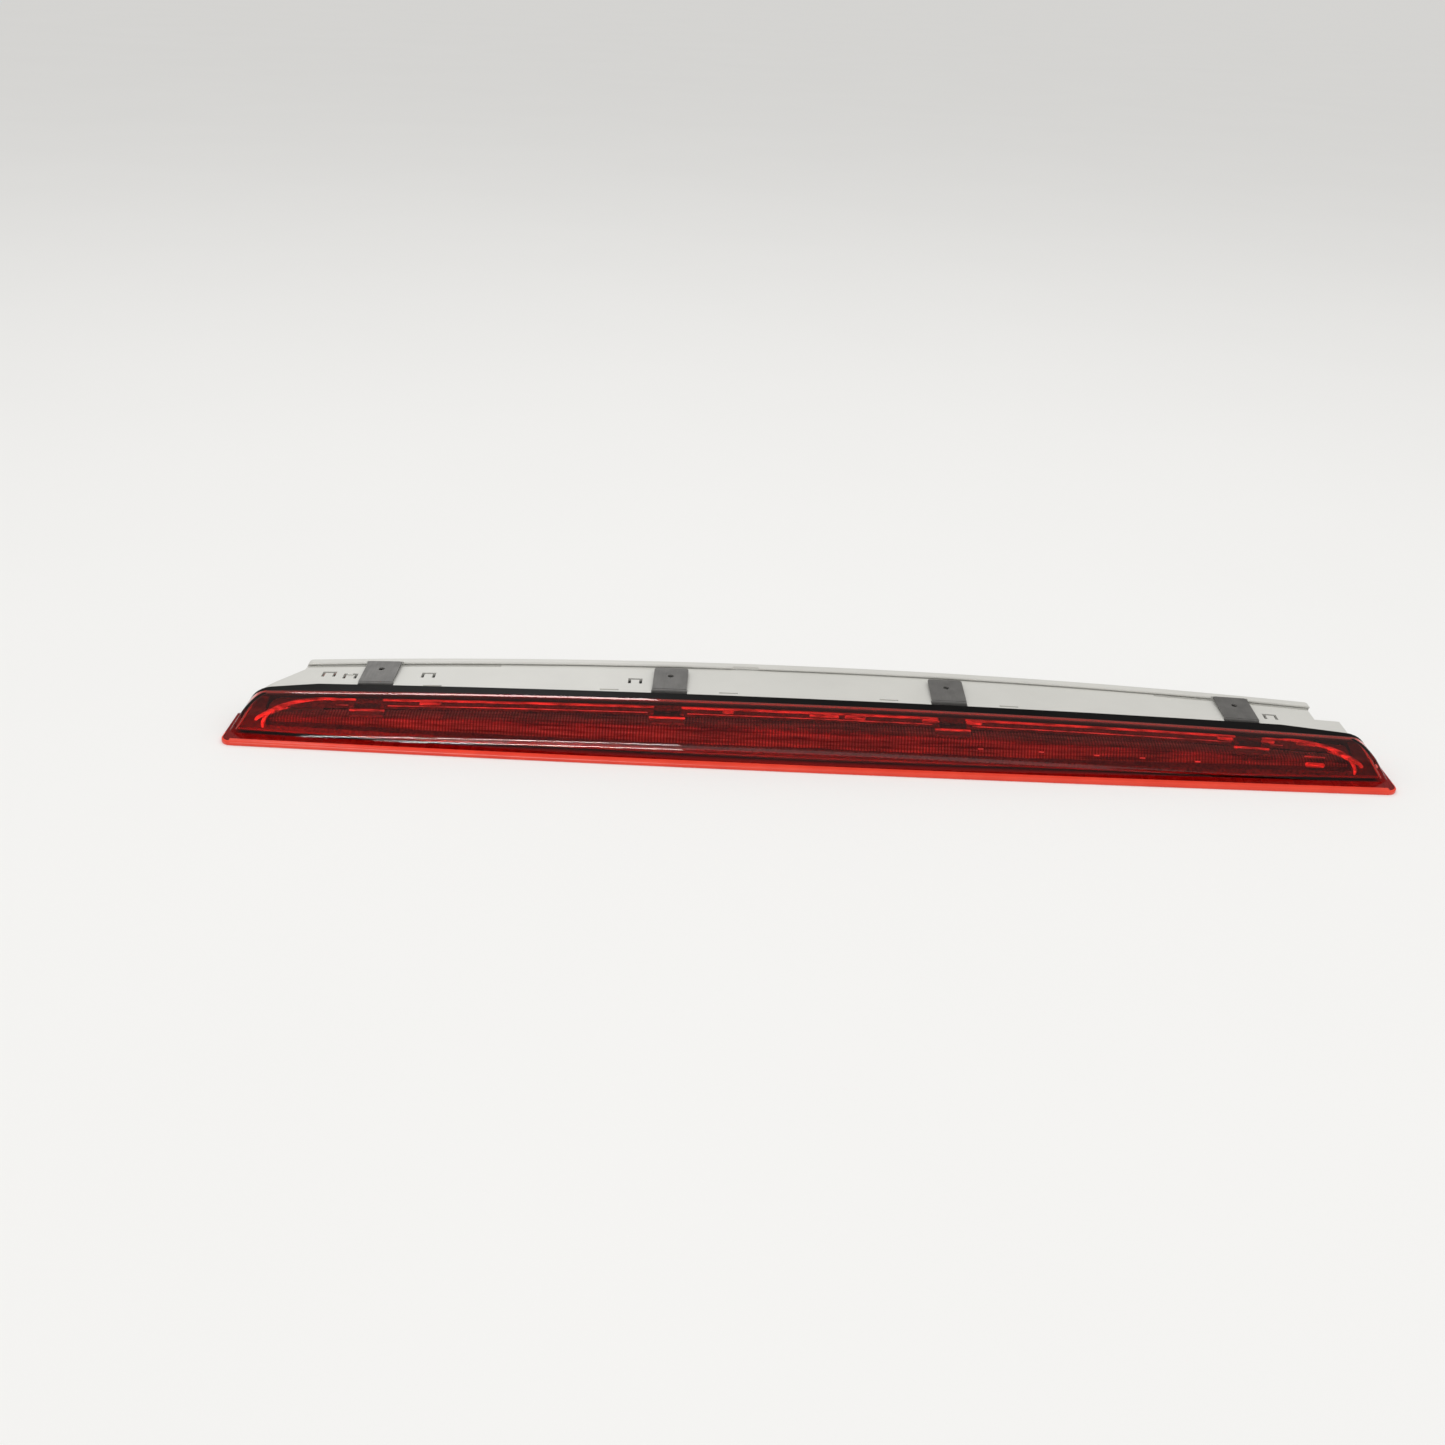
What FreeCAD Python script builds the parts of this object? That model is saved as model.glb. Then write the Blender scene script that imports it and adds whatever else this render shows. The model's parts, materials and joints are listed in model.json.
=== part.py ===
import FreeCAD, Part
import math
import os
from FreeCAD import Vector

# A slim high-mounted brake light for a rear spoiler.
# Millimetres. X runs along the lamp, +Y points forward on the car (towards the back of the housing),
# +Z is up. The red lens faces -Y. Z = 0 is the flat underside, and the origin is the middle of the
# underside of the bounding box. Depths are measured from the front edge of the lip at mid length.

# ---- driving dimensions ----------------------------------------------------------------------
DEPTH = 75.5             # lip front to rim back at mid length
HALF_LENGTH = 304.5      # half the length of the lip
BOW_RADIUS = 5745.0      # the lens, its optics and the board follow this arc
BOW_TILT = 21.4          # degrees that the plane of the arc leans, so that it sweeps as it crowns
REAR_RADIUS = 6540.0     # plan radius of the housing's rear edge

LENS_TOP = 23.5          # height of the lens and bezel at mid length
LENS_WALL = 2.5
LENS_BACK = 31.0         # depth where the lens ends and the bezel starts, on the bow
FOOT_HALF = 303.9        # half length of the lens body at the underside
END_LEAN = 33.3          # degrees that the ends lean inwards
CORNER_RADIUS = 14.0     # upper corners, seen from the front
LIP_THICK = 2.4

BEZEL_BACK = 37.5
BEZEL_FLANGE = 1.2
BEZEL_LAP = 0.4          # how far the bezel's top reaches behind its back at mid length
LAP_RADIUS = 8500.0      # plan radius of that lap's rear edge, which covers more of the deck at the ends
LAP_BACK = 42.5          # deepest that the lap may be
LAP_TAPER = ((-291.0, -258.0), (244.0, 289.0))   # where the lap narrows away towards each end
GASKET_BACK = 39.0
DECK_DROP = 0.8          # deck below the top of the bezel
HOUSING_WALL = 1.8
HOUSING_BACK = 72.7      # depth of the deck's rear edge, under the rim
HOUSING_END = 274.0      # half length of the housing behind its front corners
LEFT_CORNER = 291.0      # the tapered left end starts this far out
TAPER_BACK = 61.0        # and meets the straight end at this depth
LUG_END = 287.5          # right face of the connector lug
LUG_BACK = 52.5
FLOOR = 2.0              # thickness of the rear cover's bottom
FLOOR_FRONT = GASKET_BACK + 3.3
RIM_FRONT = 70.7
RIM_HEIGHT = 2.0         # rim above the deck
RIM_RIGHT = 276.0
RIM_GROOVES = ((-279.0, -168.0), (190.0, 279.0))   # where a groove runs along the foot of the rim
RIM_NOTCH = (-41.0, -27.0)                           # a shallow gap in the rim's foot
RIM_END_ROUND = 2.5
FIT_GAP = 0.3

CLIP_STATIONS = (-231.5, -74.5, 74.5, 231.5)
CLIP_WIDTH = 18.4
CLIP_GAUGE = 0.8
CLIP_HINGE_DEPTH = 42.0  # depth of the bend between anchor and leaf
CLIP_HINGE_RISE = 0.9    # bend axis above the deck
CLIP_LENGTH = 23.3
CLIP_SLOPE = 2.6         # degrees that a leaf rises towards the rear at rest
CLIP_HOLE = 1.6          # hole radius
CLIP_HOLE_AT = 14.5      # hole centre behind the bend
CLIP_LEG = 5.0           # the anchor's leg goes this far down through the deck
CLIP_FOOT = 4.0          # and its foot runs this far back under the deck
CLIP_BREAK = 0.15        # gap between the bend and the leaf that pivots on it
CLIP_SLOT_FRONT = 2.6    # the deck's slot for the clip reaches this far before the bend
CLIP_SLOT_BACK = 1.5     # and this far behind it

# The lens's section at mid length, as (depth, height).
STEP_LOW = (8.5, 5.6)    # foot of the step, where the flange ends
STEP_HIGH = (8.75, 8.4)  # top of the step, where the main face starts
FACE_TOP = (15.35, 19.85)  # where the steep face turns into the sloping upper face
FLANGE_SLOPE = 35.0
UPPER_SLOPE = 15.0

SURROUND_GAP = 1.5       # between the lens's inner surface and the surround
SURROUND_HALF = 286.0
SURROUND_LOW = 3.2
SURROUND_HIGH = 19.6
SURROUND_WALL = 2.0
SURROUND_BACK = 30.0
SURROUND_SILL = LENS_WALL + 0.3
OPTIC_GAP = 4.0          # the optic plate sits this far behind the surround's front edge
OPTIC_THICK = 2.0
POCKET_WIDTH = 14.0      # notch in the surround's upper wall under each clip
POCKET_DEPTH = 4.0
POCKET_SHELF = 1.2

REFLECTOR_FRONT = 30.8
REFLECTOR_BACK = 43.6
REFLECTOR_WALL = 1.2
REFLECTOR_HALF = 253.0
REFLECTOR_MOUTH = 5.0    # half height at the front
REFLECTOR_THROAT = 4.3   # half height at the back

BOARD_FRONT = 44.6
BOARD_THICK = 1.6
BOARD_BACK = BOARD_FRONT + BOARD_THICK
BOARD_LOW = 8.6
BOARD_HIGH = 17.4
BOARD_HALF = 262.0
LED_COUNT = 24
LED_PITCH = 21.5
LED_SIZE = 3.2
LED_HIGH = 1.3
LED_DOME = 1.2
LED_HEIGHT = 13.0        # height of the row of LEDs at mid length
LED_WINDOW = 2.6
SOLDER = 0.05            # under each flat component, because the board is bowed

SCREW_STATIONS = (-215.0, -86.0, 0.0, 86.0, 215.0)
SCREW_SHANK = 1.1
SCREW_HEAD = 2.2
SCREW_HEAD_HIGH = 1.4
SCREW_SLOT = 0.6
SCREW_LENGTH = 7.0
BOSS_WIDTH = 8.0
BOSS_BACK = BOARD_BACK + SCREW_LENGTH

SHROUD_LEFT = 274.7
SHROUD_RIGHT = 285.3
SHROUD_LOW = 3.6
SHROUD_HIGH = 13.6
SHROUD_FRONT = 41.5
SHROUD_BACK = 54.0
SHROUD_WALL = 1.2
SHROUD_KEY = 3.9         # the key stands this far in from the shroud's sides
SOCKET_FLOOR = 44.5
PIN_SIZE = 1.0
PIN_HEIGHTS = (6.6, 10.6)
PIN_X = 280.0
PIN_TURN = 43.0          # depth of the bend between the pin's two legs
PIN_TAIL = 258.0         # the pins pass through the board here
PIN_TAIL_LONG = 6.5
PIN_TIP = 49.0           # depth of the prongs' tips in the socket

TONGUE_SLOTS = ((-259.5, 55.2), (-205.5, 55.0), (-93.5, 53.4), (249.5, 51.6))   # x and depth
HOOK_SLOT = (-247.5, 53.0)
TONGUE_WIDTH = 7.6
TONGUE_SLOT = 1.6
TONGUE_LENGTH = 6.0
TONGUE_CUT = 4.0         # how deep each slot is cut
LATCH_MARKS = (-201.0, -106.5, -43.0, 42.5, 106.5)
LATCH_WIDTH = 10.0
LATCH_FRONT = 41.6
LATCH_BACK = 43.0
LATCH_SINK = 0.9

VENT_X = 150.0
VENT_Z = 10.0
VENT_HOLE = 3.0
VENT_BORE = 0.6

# Limits for construction blocks, all clear of the lamp.
FAR = 400.0              # longer than the lamp
BOW_REACH = 330.0        # past both ends, measured along the bow
ABOVE = 40.0             # higher than the lamp
BELOW = -12.0            # lower than the lamp, because the bow dips towards its ends
BEHIND = 90.0            # deeper than the lamp


def depth(value):
    """Y of a depth measured from the lip's front edge."""
    return value - DEPTH / 2


TILT = math.radians(BOW_TILT)
BOW_CENTRE = Vector(0, depth(0) + BOW_RADIUS * math.sin(TILT), LIP_THICK - BOW_RADIUS * math.cos(TILT))
BOW_AXIS = Vector(0, math.cos(TILT), math.sin(TILT))
CROWN_RADIUS = BOW_RADIUS / math.cos(TILT)


# ---- geometry helpers --------------------------------------------------------------------------
def rounded_face(corners):
    """Face from (point, radius) pairs, each corner rounded by its radius."""
    edges = []
    last = None
    first = None
    count = len(corners)
    for index in range(count):
        point, radius = corners[index]
        if radius == 0:
            start = middle = end = point
        else:
            back = (corners[index - 1][0] - point).normalize()
            ahead = (corners[(index + 1) % count][0] - point).normalize()
            half = back.getAngle(ahead) / 2
            start = point + back * (radius / math.tan(half))
            end = point + ahead * (radius / math.tan(half))
            bisector = (back + ahead).normalize()
            middle = point + bisector * (radius / math.sin(half) - radius)
        if last is not None:
            edges.append(Part.makeLine(last, start))
        if radius:
            edges.append(Part.Arc(start, middle, end).toShape())
        if first is None:
            first = start
        last = end
    edges.append(Part.makeLine(last, first))
    return Part.Face(Part.Wire(edges))


def section(corners):
    """Face in the plane x = 0 from (depth, height, corner radius) triples."""
    return rounded_face([(Vector(0, depth(d), z), r) for d, z, r in corners])


def bow_angle(x):
    return math.degrees(math.asin(x / BOW_RADIUS))


def station(shape, x):
    """Move a shape built at mid length to x along the bow."""
    moved = shape.copy()
    moved.rotate(BOW_CENTRE, BOW_AXIS, bow_angle(x))
    return moved


def bowed(face, x_from, x_to):
    """Sweep a section along the bow."""
    return station(face, x_from).revolve(BOW_CENTRE, BOW_AXIS, bow_angle(x_to) - bow_angle(x_from))


def block(x_from, x_to, d_from, d_to, z_from, z_to):
    corner = Vector(x_from, depth(d_from), z_from)
    return Part.makeBox(x_to - x_from, d_to - d_from, z_to - z_from, corner)


def under_arch(top, d_from, d_to):
    """Everything under the crowned surface whose height at mid length is top."""
    radius = CROWN_RADIUS - LENS_TOP + top
    base = Vector(0, depth(d_from), top - radius)
    return Part.makeCylinder(radius, d_to - d_from, base, Vector(0, 1, 0))


def end_prism(inset, d_from, d_to, bottom=0.0):
    """The lamp's front outline, drawn in by inset, as a prism along Y."""
    lean = math.tan(math.radians(END_LEAN))
    foot = FOOT_HALF - inset / math.cos(math.radians(END_LEAN))
    low_x = foot - lean * bottom
    high_x = foot - lean * ABOVE
    outline = [Vector(-low_x, depth(d_from), bottom), Vector(low_x, depth(d_from), bottom),
               Vector(high_x, depth(d_from), ABOVE), Vector(-high_x, depth(d_from), ABOVE)]
    wedge = Part.Face(Part.makePolygon(outline + outline[:1])).extrude(Vector(0, d_to - d_from, 0))
    prism = wedge.common(under_arch(LENS_TOP - inset, d_from - 1, d_to + 1))
    corners = []
    for edge in prism.Edges:
        spot = edge.CenterOfMass
        runs_back = abs(edge.tangentAt(edge.FirstParameter).y) > 0.99
        if runs_back and spot.z > bottom + 5:
            corners.append(edge)
    return prism.makeFillet(CORNER_RADIUS - inset, corners)


def plan_prism(inset, z_from, z_to):
    """The housing's outline from above, drawn in by inset, as a prism along Z."""
    front = depth(GASKET_BACK)
    back = depth(BEHIND)
    outline = [Vector(-LEFT_CORNER, front, z_from), Vector(-HOUSING_END, depth(TAPER_BACK), z_from),
               Vector(-HOUSING_END, back, z_from), Vector(HOUSING_END, back, z_from),
               Vector(HOUSING_END, depth(LUG_BACK), z_from), Vector(LUG_END, depth(LUG_BACK), z_from),
               Vector(LUG_END, front, z_from)]
    face = Part.Face(Part.makePolygon(outline + outline[:1]))
    if inset:
        face = face.makeOffset2D(-inset, 2)
    return face.extrude(Vector(0, 0, z_to - z_from))


def within_rear(back, z_from, z_to):
    """Everything in front of the curved rear edge that is back deep at mid length."""
    radius = REAR_RADIUS - DEPTH + back
    base = Vector(0, depth(back) - radius, z_from)
    return Part.makeCylinder(radius, z_to - z_from, base)


def fillet_where(shape, radius, wanted):
    """Round the edges for which wanted(edge) holds."""
    return shape.makeFillet(radius, [edge for edge in shape.Edges if wanted(edge)])


# ---- lens ----------------------------------------------------------------------------------------
def lens_front_face(back):
    """Section of all that lies behind the lens's outer surface, down to below the table."""
    drop = STEP_LOW[1] - BELOW
    reach = back - FACE_TOP[0]
    rise = reach * math.tan(math.radians(UPPER_SLOPE))
    return section([(back, BELOW, 0),
                    (STEP_LOW[0] - drop / math.tan(math.radians(FLANGE_SLOPE)), BELOW, 0),
                    (*STEP_LOW, 1.5),
                    (*STEP_HIGH, 1.4),
                    (*FACE_TOP, 9.0),
                    (back, FACE_TOP[1] + rise, 0)])


def make_lip():
    """The thin flange along the foot of the lens, with its front edge bowed in plan."""
    sweep = HALF_LENGTH ** 2 / (2 * BOW_RADIUS) * math.sin(TILT)
    left = Vector(-HALF_LENGTH, depth(sweep), 0)
    right = Vector(HALF_LENGTH, depth(sweep), 0)
    back = depth(LENS_BACK - 3)
    left_back = Vector(-HALF_LENGTH, back, 0)
    right_back = Vector(HALF_LENGTH, back, 0)
    front = Part.Arc(left, Vector(0, depth(0), 0), right).toShape()
    edges = [front, Part.makeLine(right, right_back), Part.makeLine(right_back, left_back),
             Part.makeLine(left_back, left)]
    slab = Part.Face(Part.Wire(edges)).extrude(Vector(0, 0, LIP_THICK))
    slab = fillet_where(slab, 6.0, lambda e: abs(e.tangentAt(e.FirstParameter).z) > 0.9)
    top = [e for e in slab.Edges if e.CenterOfMass.z > LIP_THICK - 0.01]
    return slab.makeFillet(0.9, top)


def make_outer_lens():
    outer = bowed(lens_front_face(LENS_BACK), -BOW_REACH, BOW_REACH).common(end_prism(0, -20, 60))
    cavity_face = lens_front_face(LENS_BACK + 10).makeOffset2D(-LENS_WALL, 2)
    cavity = bowed(cavity_face, -BOW_REACH, BOW_REACH).common(end_prism(LENS_WALL, -20, 60, LENS_WALL))
    return outer.cut(cavity).fuse(make_lip()).removeSplitter()


# ---- bezel and gasket --------------------------------------------------------------------------
def upright_layer(d_from, d_to):
    """All that lies between two depths on the bow."""
    face = section([(d_from, BELOW, 0), (d_to, BELOW, 0), (d_to, ABOVE, 0), (d_from, ABOVE, 0)])
    return bowed(face, -BOW_REACH, BOW_REACH)


def make_bezel_lap():
    """Thin tongue along the bezel's top that lies on the front edge of the deck."""
    layer = end_prism(0, BEZEL_BACK, BEHIND).cut(end_prism(DECK_DROP, BEZEL_BACK - 1, BEHIND + 1))
    (left_tip, left), (right, right_tip) = LAP_TAPER
    near = depth(BEZEL_BACK - 5)
    tip = depth(BEZEL_BACK + 0.1)
    back = depth(LAP_BACK)
    outline = [Vector(left_tip, near, 0), Vector(left_tip, tip, 0), Vector(left, back, 0), Vector(right, back, 0),
               Vector(right_tip, tip, 0), Vector(right_tip, near, 0)]
    layer = layer.common(Part.Face(Part.makePolygon(outline + outline[:1])).extrude(Vector(0, 0, ABOVE)))
    centre = Vector(0, depth(BEZEL_BACK + BEZEL_LAP) + LAP_RADIUS, BELOW)
    return layer.cut(Part.makeCylinder(LAP_RADIUS, ABOVE - BELOW, centre))


def make_bezel_frame():
    """Black frame that backs the lens's rim, with a flange that masks all round the optic."""
    ring = end_prism(0, 25, BEZEL_BACK).cut(end_prism(LENS_WALL, 20, 60, LENS_WALL))
    ring = ring.common(upright_layer(LENS_BACK, BEHIND))
    flange = end_prism(1, 25, BEZEL_BACK, 1).common(upright_layer(LENS_BACK, LENS_BACK + BEZEL_FLANGE))
    return ring.fuse([flange.cut(stadium(1, 20, 60)), make_bezel_lap()]).removeSplitter()


def make_lens_gasket():
    inside = end_prism(3.1, BEZEL_BACK - 5, GASKET_BACK + 5, 3.0)
    return end_prism(1.1, BEZEL_BACK, GASKET_BACK, 0.4).cut(inside)


# ---- optics ------------------------------------------------------------------------------------
def stadium(inset, d_from, d_to):
    """Round-ended bar, crowned like the lens, as a prism along Y."""
    half = SURROUND_HALF - inset
    low = SURROUND_LOW + inset
    high = SURROUND_HIGH - inset
    sag = half ** 2 / (2 * CROWN_RADIUS)
    bar = block(-half, half, d_from, d_to, low - sag, high + 5)
    bar = bar.common(under_arch(high, d_from - 1, d_to + 1))
    bar = bar.cut(under_arch(low, d_from - 1, d_to + 1))
    radius = (high - low) / 2 - 0.4
    return fillet_where(bar, radius, lambda e: abs(e.tangentAt(e.FirstParameter).y) > 0.99)


def front_layer(gap, thick):
    """Bowed layer parallel to the lens, gap behind its outer surface and thick deep."""
    near = lens_front_face(LENS_BACK + 12).makeOffset2D(-gap, 2)
    far = lens_front_face(LENS_BACK + 12).makeOffset2D(-gap - thick, 2)
    return bowed(near.cut(far), -BOW_REACH, BOW_REACH)


def behind_layer(gap):
    """All that lies more than gap behind the lens's outer surface."""
    return bowed(lens_front_face(LENS_BACK + 30).makeOffset2D(-gap, 2), -BOW_REACH, BOW_REACH)


def make_optic_surround():
    """Round-ended frame in front of the optic, notched under each spring clip."""
    opening = stadium(SURROUND_WALL, 4, SURROUND_BACK + 4)
    opening = opening.common(block(-FAR, FAR, 0, BEHIND, SURROUND_SILL + SURROUND_WALL, ABOVE))
    ring = stadium(0, 8, SURROUND_BACK).common(block(-FAR, FAR, 0, BEHIND, SURROUND_SILL, ABOVE)).cut(opening)
    ring = ring.common(behind_layer(LENS_WALL + SURROUND_GAP))
    half = POCKET_WIDTH / 2
    low = SURROUND_HIGH - POCKET_DEPTH
    back = SURROUND_BACK - 1
    notch = block(-half, half, 5, SURROUND_BACK - 3, low, ABOVE)
    shelf = block(-half - 2, half + 2, 19, back, low - POCKET_SHELF, low)
    left = block(-half - 2, -half, 22, back, low - POCKET_SHELF, SURROUND_HIGH - 1)
    right = block(half, half + 2, 22, back, low - POCKET_SHELF, SURROUND_HIGH - 1)
    for x in CLIP_STATIONS:
        ring = ring.cut(station(notch, x))
        ring = ring.fuse([station(piece, x) for piece in (shelf, left, right)])
    return ring.removeSplitter()


def make_optic_plate():
    plate = stadium(SURROUND_WALL + 0.1, 8, SURROUND_BACK)
    plate = plate.common(front_layer(LENS_WALL + SURROUND_GAP + OPTIC_GAP, OPTIC_THICK))
    plate = plate.common(block(-FAR, FAR, 8, BEHIND, SURROUND_SILL + SURROUND_WALL + 0.1, ABOVE))
    half = POCKET_WIDTH / 2 + 2 + FIT_GAP
    low = SURROUND_HIGH - POCKET_DEPTH - POCKET_SHELF - FIT_GAP
    notch = block(-half, half, 5, BEHIND, low, ABOVE)
    return plate.cut([station(notch, x) for x in CLIP_STATIONS])


def led_stations():
    first = -LED_PITCH * (LED_COUNT - 1) / 2
    return [first + LED_PITCH * number for number in range(LED_COUNT)]


def make_reflector():
    """Flared trough with a window for each LED in its back wall."""
    wall = REFLECTOR_WALL
    mouth = REFLECTOR_MOUTH
    throat = REFLECTOR_THROAT
    outer = section([(REFLECTOR_FRONT, LED_HEIGHT - mouth, 0), (REFLECTOR_FRONT, LED_HEIGHT + mouth, 0),
                     (REFLECTOR_BACK, LED_HEIGHT + throat, 0), (REFLECTOR_BACK, LED_HEIGHT - throat, 0)])
    inner = section([(REFLECTOR_FRONT - 1, LED_HEIGHT - mouth + wall, 0),
                     (REFLECTOR_FRONT - 1, LED_HEIGHT + mouth - wall, 0),
                     (REFLECTOR_BACK - wall, LED_HEIGHT + throat - wall, 0),
                     (REFLECTOR_BACK - wall, LED_HEIGHT - throat + wall, 0)])
    trough = bowed(outer, -REFLECTOR_HALF, REFLECTOR_HALF)
    trough = trough.cut(bowed(inner, -REFLECTOR_HALF + wall, REFLECTOR_HALF - wall))
    base = Vector(0, depth(REFLECTOR_BACK - 3), LED_HEIGHT)
    window = Part.makeCylinder(LED_WINDOW, 6, base, Vector(0, 1, 0))
    windows = [station(window, x) for x in led_stations()]
    head = Part.makeCylinder(SCREW_HEAD + 0.4, 6, base, Vector(0, 1, 0))
    heads = [station(head, x) for x in SCREW_STATIONS]
    return trough.cut(windows + heads)


# ---- circuit board ----------------------------------------------------------------------------
def make_circuit_board():
    profile = section([(BOARD_FRONT, BOARD_LOW, 0), (BOARD_BACK, BOARD_LOW, 0),
                       (BOARD_BACK, BOARD_HIGH, 0), (BOARD_FRONT, BOARD_HIGH, 0)])
    board = bowed(profile, -BOARD_HALF, BOARD_HALF)
    base = Vector(0, depth(BOARD_FRONT - 2), LED_HEIGHT)
    hole = Part.makeCylinder(SCREW_SHANK + FIT_GAP, 6, base, Vector(0, 1, 0))
    return board.cut([station(hole, x) for x in SCREW_STATIONS]).cut(make_connector_pins(0.25))


def make_leds():
    """Square LED packages with a domed emitter, face to face with the board."""
    half = LED_SIZE / 2
    front = BOARD_FRONT - LED_HIGH
    package = block(-half, half, front, BOARD_FRONT, LED_HEIGHT - half, LED_HEIGHT + half)
    dome = Part.makeSphere(LED_DOME, Vector(0, depth(front), LED_HEIGHT))
    dome = dome.common(block(-half, half, front - 2, front + 0.1, LED_HEIGHT - half, LED_HEIGHT + half))
    led = package.fuse(dome).removeSplitter()
    return Part.makeCompound([station(led, x) for x in led_stations()])


def make_resistors():
    """Chip resistors on the back of the board, one for each pair of LEDs."""
    near = BOARD_BACK + SOLDER
    chip = block(-1.6, 1.6, near, near + 0.6, 14.2, 15.8)
    chips = [station(chip, (led_stations()[n] + led_stations()[n + 1]) / 2) for n in range(0, LED_COUNT, 2)]
    return Part.makeCompound(chips)


def make_diode():
    body = block(-2.2, 2.2, BOARD_BACK + SOLDER, BOARD_BACK + 2.2, 9.6, 12.2)
    return station(body, 238.0)


def make_capacitor():
    """Small electrolytic can standing off the back of the board."""
    base = Vector(0, depth(BOARD_BACK + SOLDER), 12.6)
    can = Part.makeCylinder(3.1, 5.8, base, Vector(0, 1, 0))
    can = fillet_where(can, 0.5, lambda e: e.CenterOfMass.y > depth(BOARD_BACK + 5))
    return station(can, 204.0)


def make_board_screws():
    top = BOARD_FRONT - SCREW_HEAD_HIGH
    along = Vector(0, 1, 0)
    head = Part.makeCylinder(SCREW_HEAD, SCREW_HEAD_HIGH, Vector(0, depth(top), LED_HEIGHT), along)
    neck = Vector(0, depth(BOARD_FRONT - 0.1), LED_HEIGHT)
    shank = Part.makeCylinder(SCREW_SHANK, SCREW_LENGTH, neck, along)
    slot = block(-SCREW_HEAD - 1, SCREW_HEAD + 1, top, top + SCREW_SLOT,
                 LED_HEIGHT - SCREW_SLOT / 2, LED_HEIGHT + SCREW_SLOT / 2)
    screw = head.fuse(shank).cut(slot)
    return Part.makeCompound([station(screw, x) for x in SCREW_STATIONS])


# ---- connector -----------------------------------------------------------------------------------
def make_connector_pins(margin):
    """Two bent terminals, from the socket to pads at the board's right end."""
    pins = []
    half = PIN_SIZE / 2 + margin
    for z in PIN_HEIGHTS:
        prong = block(PIN_X - half, PIN_X + half, PIN_TURN - half, PIN_TIP + margin, z - half, z + half)
        run = block(PIN_TAIL - half, PIN_X + half, PIN_TURN - half, PIN_TURN + half, z - half, z + half)
        tail_end = PIN_TURN + PIN_TAIL_LONG + margin
        tail = block(PIN_TAIL - half, PIN_TAIL + half, PIN_TURN - half, tail_end, z - half, z + half)
        pins.append(prong.fuse([run, tail]).removeSplitter())
    return Part.makeCompound(pins)


def make_connector_shroud():
    sleeve = block(SHROUD_LEFT, SHROUD_RIGHT, SHROUD_FRONT, SHROUD_BACK, SHROUD_LOW, SHROUD_HIGH)
    sleeve = fillet_where(sleeve, 1.2, lambda e: abs(e.tangentAt(e.FirstParameter).y) > 0.99)
    socket = block(SHROUD_LEFT + SHROUD_WALL, SHROUD_RIGHT - SHROUD_WALL, SOCKET_FLOOR, SHROUD_BACK + 1,
                   SHROUD_LOW + SHROUD_WALL, SHROUD_HIGH - SHROUD_WALL)
    ceiling = SHROUD_HIGH - SHROUD_WALL
    key = block(SHROUD_LEFT + SHROUD_KEY, SHROUD_RIGHT - SHROUD_KEY, SOCKET_FLOOR, SHROUD_BACK,
                ceiling - 0.8, ceiling + 0.2)
    return sleeve.cut(socket).fuse(key).cut(make_connector_pins(0.05)).removeSplitter()


def make_connector_seal():
    """Rubber ring round the shroud, against the lug's back wall."""
    ring = block(SHROUD_LEFT - 0.5, SHROUD_RIGHT + 1.3, LUG_BACK, LUG_BACK + 1.0,
                 SHROUD_LOW - 1.2, SHROUD_HIGH + 1.2)
    hole = block(SHROUD_LEFT, SHROUD_RIGHT, LUG_BACK - 1, LUG_BACK + 2, SHROUD_LOW, SHROUD_HIGH)
    hole = fillet_where(hole, 1.2, lambda e: abs(e.tangentAt(e.FirstParameter).y) > 0.99)
    return ring.cut(hole)


# ---- housing -----------------------------------------------------------------------------------
def deck_height(x):
    top = LENS_TOP - DECK_DROP
    radius = CROWN_RADIUS - DECK_DROP
    return top - radius + math.sqrt(radius ** 2 - x ** 2)


def tongue_slot(x, d):
    """U-shaped cut that frees a snap tongue: its bar is towards the rear."""
    z = deck_height(x)
    x_left = x - TONGUE_WIDTH / 2
    back = d + TONGUE_LENGTH / 2
    low = z - TONGUE_CUT
    bar = block(x_left, x_left + TONGUE_WIDTH, back - TONGUE_SLOT, back, low, ABOVE)
    left = block(x_left, x_left + TONGUE_SLOT, back - TONGUE_LENGTH, back, low, ABOVE)
    right = left.translated(Vector(TONGUE_WIDTH - TONGUE_SLOT, 0, 0))
    return bar.fuse([left, right])


def make_housing_shell():
    """Deck, side walls and the open frame that the lens stack is fixed to."""
    wall = HOUSING_WALL
    top = DECK_DROP + wall
    shell = end_prism(DECK_DROP, GASKET_BACK, DEPTH).common(plan_prism(0, -1, ABOVE))
    shell = shell.common(within_rear(HOUSING_BACK, -5, ABOVE))
    room = end_prism(top, GASKET_BACK - 1, BEHIND, -3).common(plan_prism(wall, -3, ABOVE))
    mouth = end_prism(top, GASKET_BACK - 1, GASKET_BACK + 5, 3.0)
    mouth = mouth.common(block(-LEFT_CORNER + 2.5, LUG_END - wall, 0, BEHIND, 0, ABOVE))
    sill = block(-LEFT_CORNER + 1, LUG_END - 1, GASKET_BACK, FLOOR_FRONT - FIT_GAP, 0, 2.7)
    sill = sill.common(end_prism(DECK_DROP, GASKET_BACK, DEPTH))
    shell = shell.cut(room).cut(mouth).fuse(sill)
    return shell.cut(block(-FAR, FAR, FLOOR_FRONT, BEHIND, -2, FLOOR + FIT_GAP))


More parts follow.
